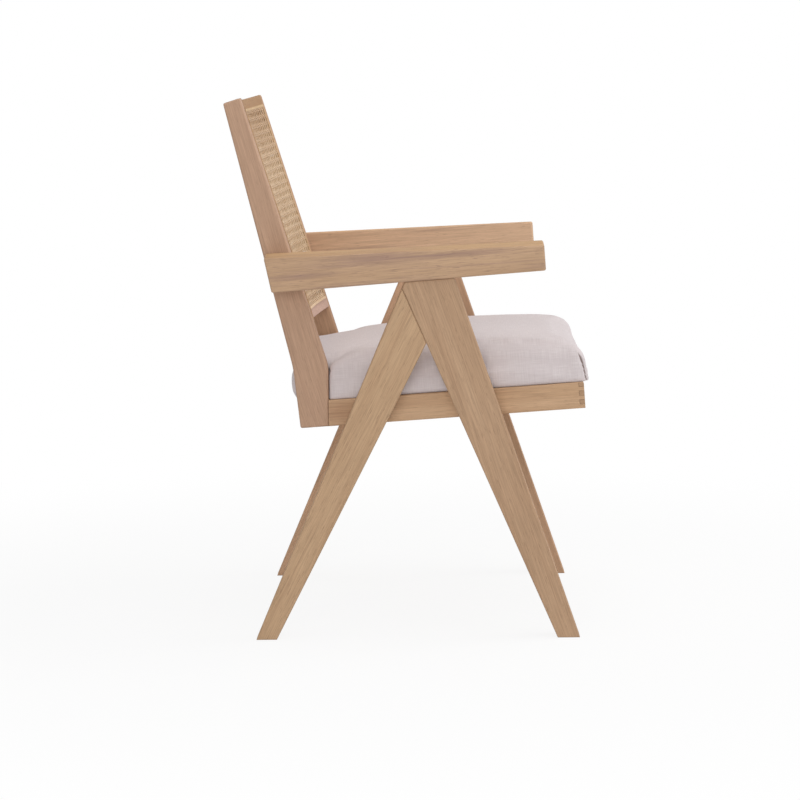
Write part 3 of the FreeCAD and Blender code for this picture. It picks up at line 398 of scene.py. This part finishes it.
level_side = np.tile(pair, len(levels))[:, None]
level_place = weave_middle + np.repeat(levels, 2)[:, None] * weave_pitch + level_side * pair_half
level_depth = sheet_depth - level_side * wave_height * np.sin(wave_turn * over)
strands = [
    strand_mesh("cane_uprights", stand_place + 0 * up, up + 0 * stand_place, stand_depth, strand_width),
    strand_mesh("cane_levels", over + 0 * level_place, level_place + 0 * over, level_depth, strand_width)]
slant_rows = np.arange(columns[0] + levels[0], columns[-1] + levels[-1])[:, None]
lines = (slant_rows + 0.5) * weave_pitch
start = np.maximum(-arc_half, lines - weave_half)
end = np.minimum(arc_half, lines + weave_half)
kept = (end - start)[:, 0] > weave_pitch
slant_shares = np.linspace(0, 1, len(levels) * steps_per_pitch)
across = (start + (end - start) * slant_shares)[kept]
for name, way in (("cane_rising", 1), ("cane_falling", -1)):
    rise = weave_middle + way * (across - lines[kept])
    slant_depth = sheet_depth + way * slant_height * np.cos(wave_turn * across)
    strands.append(strand_mesh(name, across, rise, slant_depth, slant_width))
cane = split_cane("cane")
for piece in strands:
    piece.data.materials.append(cane)
    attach(piece, "frame")
    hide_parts("cane_panel")

# Splines. Lengths of round reed, glued into the groove over the edges of the cane to lock it. The one
# along the bottom is paler than the rest.
dress(oiled_wood("spline_reed", across_chair, pale=srgb(202, 173, 138), deep=srgb(190, 160, 124),
                 vein=srgb(164, 130, 92)), "cane_spline_top")
dress(oiled_wood("spline_reed_bottom", across_chair, pale=srgb(230, 204, 174), deep=srgb(218, 190, 158),
                 vein=srgb(186, 152, 116)), "cane_spline_bottom")
dress(oiled_wood("spline_reed_sides", up_back, pale=srgb(198, 168, 133), deep=srgb(182, 150, 115),
                 vein=srgb(152, 118, 82)), *both("cane_spline"))

# Cushion. A loose pad of foam in a sewn linen cover, cut as a T whose tongue passes between the back
# uprights. It is sewn smaller than the foam, so the cover is full, and darts close its corners.
seat_slope = math.radians(3.57)
seat_rear = 0.3543
cushion_lift = 0.0003
pad_half = 0.2275
pad_front = -0.388
pad_notch = 0.004
tongue_half = 0.197
tongue_end = 0.060
pad_corner = 0.018
pad_side = 0.053
pad_roll = 0.025
pad_foot = 0.005
pad_sink = 0.005
tongue_foot = 0.024
tongue_foot_from = 0.01
tongue_foot_run = 0.03
pad_crown = 0.005
crown_power = 2.6
dome_height = 0.012
dome_middle = -0.18
dome_half = 0.2
pad_turns = 720
pad_rings = 90
pad_voxel = 0.005
swell_pressure = 3.0
swell_frames = 20
swell_cap = 0.005
clear_side = 0.2308
clear_tongue = 0.2006
clear_upright = 0.0012
notch_reach = 0.02
dart_inset = 0.02
dart_height = 0.044
dart_tilt = 0.18
dart_start = 0.004
dart_fade = 0.012
dart_depth = 0.003
dart_width = 0.0026
lap_depth = 0.0012
lap_width = 0.008
line_fade = 0.006
linen_pale = srgb(212, 203, 203)
linen_deep = srgb(198, 188, 188)
linen_cloud = srgb(201, 190, 191)
# Painted shade in the crease of each dart.
linen_crease_shade = srgb(112, 92, 84)
thread_pitch = 0.0009
thread_width = 0.0011
slub_length = 0.03
cloud_size = 0.014
weave_relief = 0.35
tiny = 1e-9
slip = 1e-6


def on_seat(x, y, z):
    """Points of the sloping seat: y runs back from the uprights' front and z up from the rails."""
    world_y = upright_front + y * math.cos(seat_slope) + z * math.sin(seat_slope)
    world_z = seat_rear - y * math.sin(seat_slope) + z * math.cos(seat_slope)
    return np.stack((x, world_y, world_z), -1)


def off_seat(points):
    """Undoes on_seat: across, back and up along the sloping seat."""
    back = points[:, 1] - upright_front
    up_seat = points[:, 2] - seat_rear
    y = back * math.cos(seat_slope) - up_seat * math.sin(seat_slope)
    z = back * math.sin(seat_slope) + up_seat * math.cos(seat_slope)
    return points[:, 0], y, z


def pad_outline(angles):
    """Distance from the pad's middle to its T outline, by angle, with the corners rounded.

    Each side of the T is a line; a ray meets the nearest side that lies in its way. A sliding mean
    over the angle rounds the corners.
    """
    middle_y = (pad_front + pad_notch) / 2
    corner_x = np.array((pad_half, pad_half, tongue_half, tongue_half))
    corner_y = np.array((pad_front, pad_notch, pad_notch, tongue_end)) - middle_y
    corner_x = np.concatenate((corner_x, -corner_x[::-1]))
    corner_y = np.concatenate((corner_y, corner_y[::-1]))
    side_x = np.roll(corner_x, -1) - corner_x
    side_y = np.roll(corner_y, -1) - corner_y
    ray_x = np.cos(angles)[:, None]
    ray_y = np.sin(angles)[:, None]
    cross = ray_x * side_y - ray_y * side_x
    cross = np.where(np.abs(cross) < tiny, tiny, cross)
    distance = (corner_x * side_y - corner_y * side_x) / cross
    along = (corner_x * ray_y - corner_y * ray_x) / cross
    met = (along > -slip) & (along < 1 + slip) & (distance > 0)
    reach = np.where(met, distance, np.inf).min(axis=1)
    spread_steps = int(len(angles) * pad_corner / (2 * math.pi * pad_half) / 2)
    window = np.hanning(2 * spread_steps + 3)
    padded = np.concatenate((reach[-spread_steps - 1:], reach, reach[:spread_steps + 1]))
    return np.convolve(padded, window / window.sum(), "valid"), middle_y


def pad_surface(turns, rings):
    """Closed pad: rings of the outline, drawn in to the middle below and above.

    At a distance in from the outline, the underside is flat but for a rounded foot, larger under the
    tongue, and the top rolls over a quarter of a circle and then climbs to the crown with a power of
    the share. A dome, one less the square of the way from its middle, is added along the depth. The
    underside starts sunk below the seat and is cut off level with it later, for a crisp lower edge.
    """
    angles = np.linspace(0, 2 * math.pi, turns, endpoint=False)
    reach, middle_y = pad_outline(angles)
    share = np.sin(np.linspace(0, math.pi / 2, rings))[:, None]
    inset = (1 - share) * reach
    back = middle_y + share * reach * np.sin(angles)
    under_tongue = np.clip((back - tongue_foot_from) / tongue_foot_run, 0, 1)
    foot_radius = pad_foot + (tongue_foot - pad_foot) * under_tongue
    foot = foot_radius * (1 - np.sqrt(1 - np.clip(1 - inset / foot_radius, 0, 1) ** 2))
    roll = pad_roll * (np.sqrt(1 - np.clip(1 - inset / pad_roll, 0, 1) ** 2) - 1)
    dome = np.clip(1 - ((back - dome_middle) / dome_half) ** 2, 0, 1)
    top = pad_side + roll + pad_crown * (1 - share ** crown_power) + dome_height * dome
    radius = np.concatenate((share * reach, (share * reach)[::-1]))
    height = np.concatenate((foot - pad_sink, top[::-1])) + cushion_lift
    points = on_seat(radius * np.cos(angles), middle_y + radius * np.sin(angles), height)
    index = np.arange(2 * rings * turns).reshape(2 * rings, turns)
    after = np.roll(index, -1, axis=1)
    faces = np.stack((index[:-1], after[:-1], after[1:], index[1:]), -1).reshape(-1, 4)
    mesh = bpy.data.meshes.new("cushion_blank")
    mesh.from_pydata(points.reshape(-1, 3), [], faces.tolist())
    return mesh


def mesh_points(mesh):
    """A mesh's points as an array, one row each."""
    flat = np.empty(3 * len(mesh.vertices), np.float32)
    mesh.vertices.foreach_get("co", flat)
    return flat.reshape(-1, 3)


def finished(piece):
    """A new mesh with the piece's modifiers worked in."""
    bpy.context.view_layer.update()
    graph = bpy.context.evaluated_depsgraph_get()
    return bpy.data.meshes.new_from_object(piece.evaluated_get(graph))


def swollen(mesh):
    """Points of the blank after its cover has been filled: cloth under pressure, held below the seat,
    with each point's move cut to the cap."""
    blank = placed("cushion_blank", mesh)
    before = mesh_points(mesh)
    height = off_seat(before)[2]
    held = blank.vertex_groups.new(name="held")
    held.add(np.flatnonzero(height < 0).tolist(), 1.0, "REPLACE")
    cloth = blank.modifiers.new("swell", "CLOTH")
    cloth.settings.quality = 5
    cloth.settings.mass = 0.3
    cloth.settings.tension_stiffness = 15
    cloth.settings.compression_stiffness = 15
    cloth.settings.shear_stiffness = 8
    cloth.settings.bending_stiffness = 0.6
    cloth.settings.use_pressure = True
    cloth.settings.uniform_pressure_force = swell_pressure
    cloth.settings.effector_weights.gravity = 0
    cloth.settings.vertex_group_mass = "held"
    for step in range(1, swell_frames + 1):
        bpy.context.scene.frame_set(step)
    after = mesh_points(finished(blank))
    bpy.context.scene.frame_set(1)
    bpy.data.objects.remove(blank)
    move = after - before
    length = np.linalg.norm(move, axis=1, keepdims=True)
    return before + move * np.minimum(1, swell_cap / np.maximum(length, tiny))


def linen(name):
    """Pale linen: a plain weave of uneven threads with a soft nap, and a dark line where a dart is sewn.

    Threads rise and dip as the product of two sines along the weave; noise drawn out along each of
    the two ways makes some threads thicker and paler. The dark line is painted shade in the dart's
    crease: it is where the way beside the dart is near 0, and it fades at the dart's ends.
    """
    material, surface = new_material(name)
    where = add_node(material, "ShaderNodeUVMap", uv_map="weave").outputs["UV"]

    def slub(width, height):
        """Noise on the weave's map, with marks of this width and height."""
        inputs = {"Vector": where, "Scale": (width, height, 1)}
        stretched = add_node(material, "ShaderNodeMapping", inputs, vector_type="TEXTURE")
        inputs = {"Vector": stretched.outputs["Vector"], "Scale": 1.0, "Detail": 3.0}
        return add_node(material, "ShaderNodeTexNoise", inputs, noise_dimensions="2D").outputs["Fac"]

    threads = worked(material, "ADD", slub(slub_length, thread_width), slub(thread_width, slub_length))
    clouds = spread(material, slub(cloud_size, cloud_size), low=0.35, high=0.7, reach=0.5)
    colour = blended(material, spread(material, threads, low=0.7, high=1.3), linen_deep, linen_pale)
    colour = blended(material, clouds, colour, linen_cloud)
    ways = add_node(material, "ShaderNodeSeparateXYZ", {"Vector": where}).outputs
    waves = [worked(material, "SINE", worked(material, "MULTIPLY", ways[way], math.pi / thread_pitch))
             for way in ("X", "Y")]
    crossings = worked(material, "MULTIPLY", *waves)
    raised = worked(material, "MULTIPLY_ADD", crossings, weave_relief, threads)
    sewn = add_node(material, "ShaderNodeAttribute", attribute_name="dart").outputs["Vector"]
    seam = add_node(material, "ShaderNodeSeparateXYZ", {"Vector": sewn}).outputs
    line = spread(material, worked(material, "ABSOLUTE", seam["X"]), low=0.0012, high=0.0005)
    below_top = spread(material, seam["Z"], low=dart_height, high=dart_height - line_fade, reach=0.8)
    past_start = spread(material, seam["Y"], low=0.003, high=0.006)
    line = worked(material, "MULTIPLY", worked(material, "MULTIPLY", line, below_top), past_start)
    # Painted shade: the dark line in each dart's crease.
    colour = blended(material, line, colour, linen_crease_shade)
    bump = add_node(material, "ShaderNodeBump", {"Height": raised, "Strength": 0.3, "Distance": 0.0004})
    set_sockets(material, surface, {
        "Base Color": colour, "Normal": bump.outputs["Normal"], "Roughness": 0.92,
        "Specular IOR Level": 0.2, "Sheen Weight": 0.12})
    return material


blank = placed("cushion_blank", pad_surface(pad_turns, pad_rings))
even = blank.modifiers.new("even", "REMESH")
even.mode = "VOXEL"
even.voxel_size = pad_voxel
pad_mesh = finished(blank)
bpy.data.objects.remove(blank)
pad_mesh.vertices.foreach_set("co", swollen(pad_mesh).ravel().astype(np.float32))
cushion = placed("cushion_pad", pad_mesh)
even = cushion.modifiers.new("even", "SMOOTH")
even.iterations = 4
finer = cushion.modifiers.new("finer", "SUBSURF")
finer.levels = 1
finer.render_levels = 1
cushion.data = finished(cushion)
cushion.modifiers.clear()

# A dart runs up each front corner, tilted, as a groove with the section of a bell curve. The cloth
# laps over it: one side stands out and the other is drawn in, fading away from the dart.
x, y, z = off_seat(mesh_points(cushion.data))
dart_x = np.abs(x) - (pad_half - dart_inset)
dart_y = y - (pad_front + dart_inset)
beside_dart = (dart_x + dart_y) / math.sqrt(2) - dart_tilt * (z - dart_height / 2)
beyond_dart = (dart_x - dart_y) / math.sqrt(2)
fade = np.clip((dart_height - z) / dart_fade, 0, 1) * (beyond_dart > dart_start)
groove = dart_depth * fade * np.exp(-(beside_dart / dart_width) ** 2)
lap = lap_depth * fade * np.sign(beside_dart) * np.exp(-np.abs(beside_dart) / lap_width)
x = x - np.sign(x) * (groove + lap) / math.sqrt(2)
y = y + (groove + lap) / math.sqrt(2)

# The pad is cut off flat where it meets the rails, and the fronts and inner faces of the uprights.
x = np.clip(x, -clear_side, clear_side)
z = np.maximum(z, cushion_lift)
beside = np.abs(x) > clear_tongue
slack = y + z * math.sin(seat_slope)
notch_y = np.minimum(y, -clear_upright - z * math.sin(seat_slope))
y = np.where(beside & (slack < notch_reach), notch_y, y)
x = np.where(~beside | (slack < -clear_upright), x, np.sign(x) * clear_tongue)
cushion.data.vertices.foreach_set("co", on_seat(x, y, z).ravel().astype(np.float32))
cushion.data.shade_smooth()
dart = cushion.data.attributes.new("dart", "FLOAT_VECTOR", "POINT")
dart.data.foreach_set("vector", np.stack((beside_dart, beyond_dart, z), -1).ravel().astype(np.float32))

# The weave's map lays the cloth flat on each face: it takes the two ways along the seat that the face
# doesn't look in.
facing = np.empty(3 * len(cushion.data.polygons), np.float32)
cushion.data.polygons.foreach_get("normal", facing)
widest = np.repeat(np.abs(facing.reshape(-1, 3)).argmax(axis=1), 4)
corner = np.empty(len(cushion.data.loops), np.int32)
cushion.data.loops.foreach_get("vertex_index", corner)
weave_u = np.where(widest == 0, y[corner], x[corner])
weave_v = np.where(widest == 2, y[corner], z[corner])
weave = cushion.data.uv_layers.new(name="weave")
weave.data.foreach_set("uv", np.stack((weave_u, weave_v), -1).ravel().astype(np.float32))
cushion.data.materials.clear()
cushion.data.materials.append(linen("linen"))
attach(cushion, "cushion")
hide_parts("cushion_cover", "cushion_foam")

# Light and stage. A pale floor, a wide soft light overhead, one in front and one beside the camera; the
# surroundings show as plain white, and the floor goes over to white away from the chair's shadow.
white = (1, 1, 1, 1)
floor_grey = (0.78, 0.78, 0.78, 1)
floor_reach = 30.0
floor_white_share = 0.88
shadow_reach = 0.55
white_reach = 1.5
ambient = 0.46
light_aim = Vector((0, 0, 0.4))


def seen_directly(owner):
    """1 for rays from the camera and for those that gloss and glass send on, 0 for scattered light."""
    path = add_node(owner, "ShaderNodeLightPath").outputs
    sent_on = worked(owner, "MAXIMUM", path["Is Glossy Ray"], path["Is Transmission Ray"])
    return worked(owner, "MAXIMUM", path["Is Camera Ray"], sent_on)


def soft_light(name, place, size, power):
    """A square panel of light that faces the middle of the chair."""
    lamp = bpy.data.lights.new(name, "AREA")
    lamp.size = size
    lamp.energy = power
    panel = placed(name, lamp)
    panel.location = place
    panel.rotation_euler = (light_aim - Vector(place)).to_track_quat("-Z", "Y").to_euler()


floor_mesh = bpy.data.meshes.new("floor")
floor_mesh.from_pydata([(-floor_reach, -floor_reach, 0), (floor_reach, -floor_reach, 0),
                        (floor_reach, floor_reach, 0), (-floor_reach, floor_reach, 0)],
                       [], [(0, 1, 2, 3)])
floor = placed("floor", floor_mesh)
floor_paint, paint = new_material("floor_paint")
set_sockets(floor_paint, paint, {"Base Color": floor_grey, "Roughness": 0.9})
glow = add_node(floor_paint, "ShaderNodeEmission", {"Color": white, "Strength": 1.0})
place = add_node(floor_paint, "ShaderNodeTexCoord").outputs["Object"]
away = add_node(floor_paint, "ShaderNodeVectorMath", {0: place}, operation="LENGTH")
fading = add_node(floor_paint, "ShaderNodeMapRange", {
    "Value": away.outputs["Value"], "From Min": shadow_reach, "From Max": white_reach,
    "To Min": floor_white_share}, interpolation_type="SMOOTHSTEP")
white_share = worked(floor_paint, "MULTIPLY", seen_directly(floor_paint), fading.outputs["Result"])
mixed = add_node(floor_paint, "ShaderNodeMixShader", {
    0: white_share, 1: paint.outputs["BSDF"], 2: glow.outputs["Emission"]})
set_sockets(floor_paint, floor_paint.node_tree.nodes["Material Output"],
            {"Surface": mixed.outputs["Shader"]})
floor_mesh.materials.append(floor_paint)

world = bpy.data.worlds.new("studio")
bpy.context.scene.world = world
world.use_nodes = True
brightness = add_node(world, "ShaderNodeMapRange", {
    "Value": seen_directly(world), "To Min": ambient, "To Max": 1.0})
set_sockets(world, world.node_tree.nodes["Background"],
            {"Color": white, "Strength": brightness.outputs["Result"]})
soft_light("light_overhead", (-0.3, -0.6, 3.2), size=2.6, power=43)
soft_light("light_front", (0.3, -3.5, 1.7), size=2.0, power=48)
soft_light("light_camera_side", (-3.8, 0.3, 1.2), size=2.0, power=46)

# Camera. A long lens beside the chair's right side, a little above the armrests. It looks slightly
# down, and is turned and tilted by about a degree.
camera_place = Vector((-4.1461, -0.0628, 0.8483))
camera_yaw = math.radians(0.997)
camera_pitch = math.radians(7.2)
camera_roll = math.radians(-0.688)
camera_data = bpy.data.cameras.new("camera")
camera_data.sensor_width = 36
camera_data.lens = 119.5
camera = placed("camera", camera_data)
ahead = Vector((math.cos(camera_pitch) * math.cos(camera_yaw),
                math.cos(camera_pitch) * math.sin(camera_yaw), -math.sin(camera_pitch)))
level_right = ahead.cross(Vector((0, 0, 1))).normalized()
level_up = level_right.cross(ahead)
right = math.cos(camera_roll) * level_right + math.sin(camera_roll) * level_up
turned = Matrix((right, right.cross(ahead), -ahead)).transposed().to_4x4()
camera.matrix_world = Matrix.Translation(camera_place) @ turned
bpy.context.scene.camera = camera
bpy.context.scene.view_settings.view_transform = "Standard"
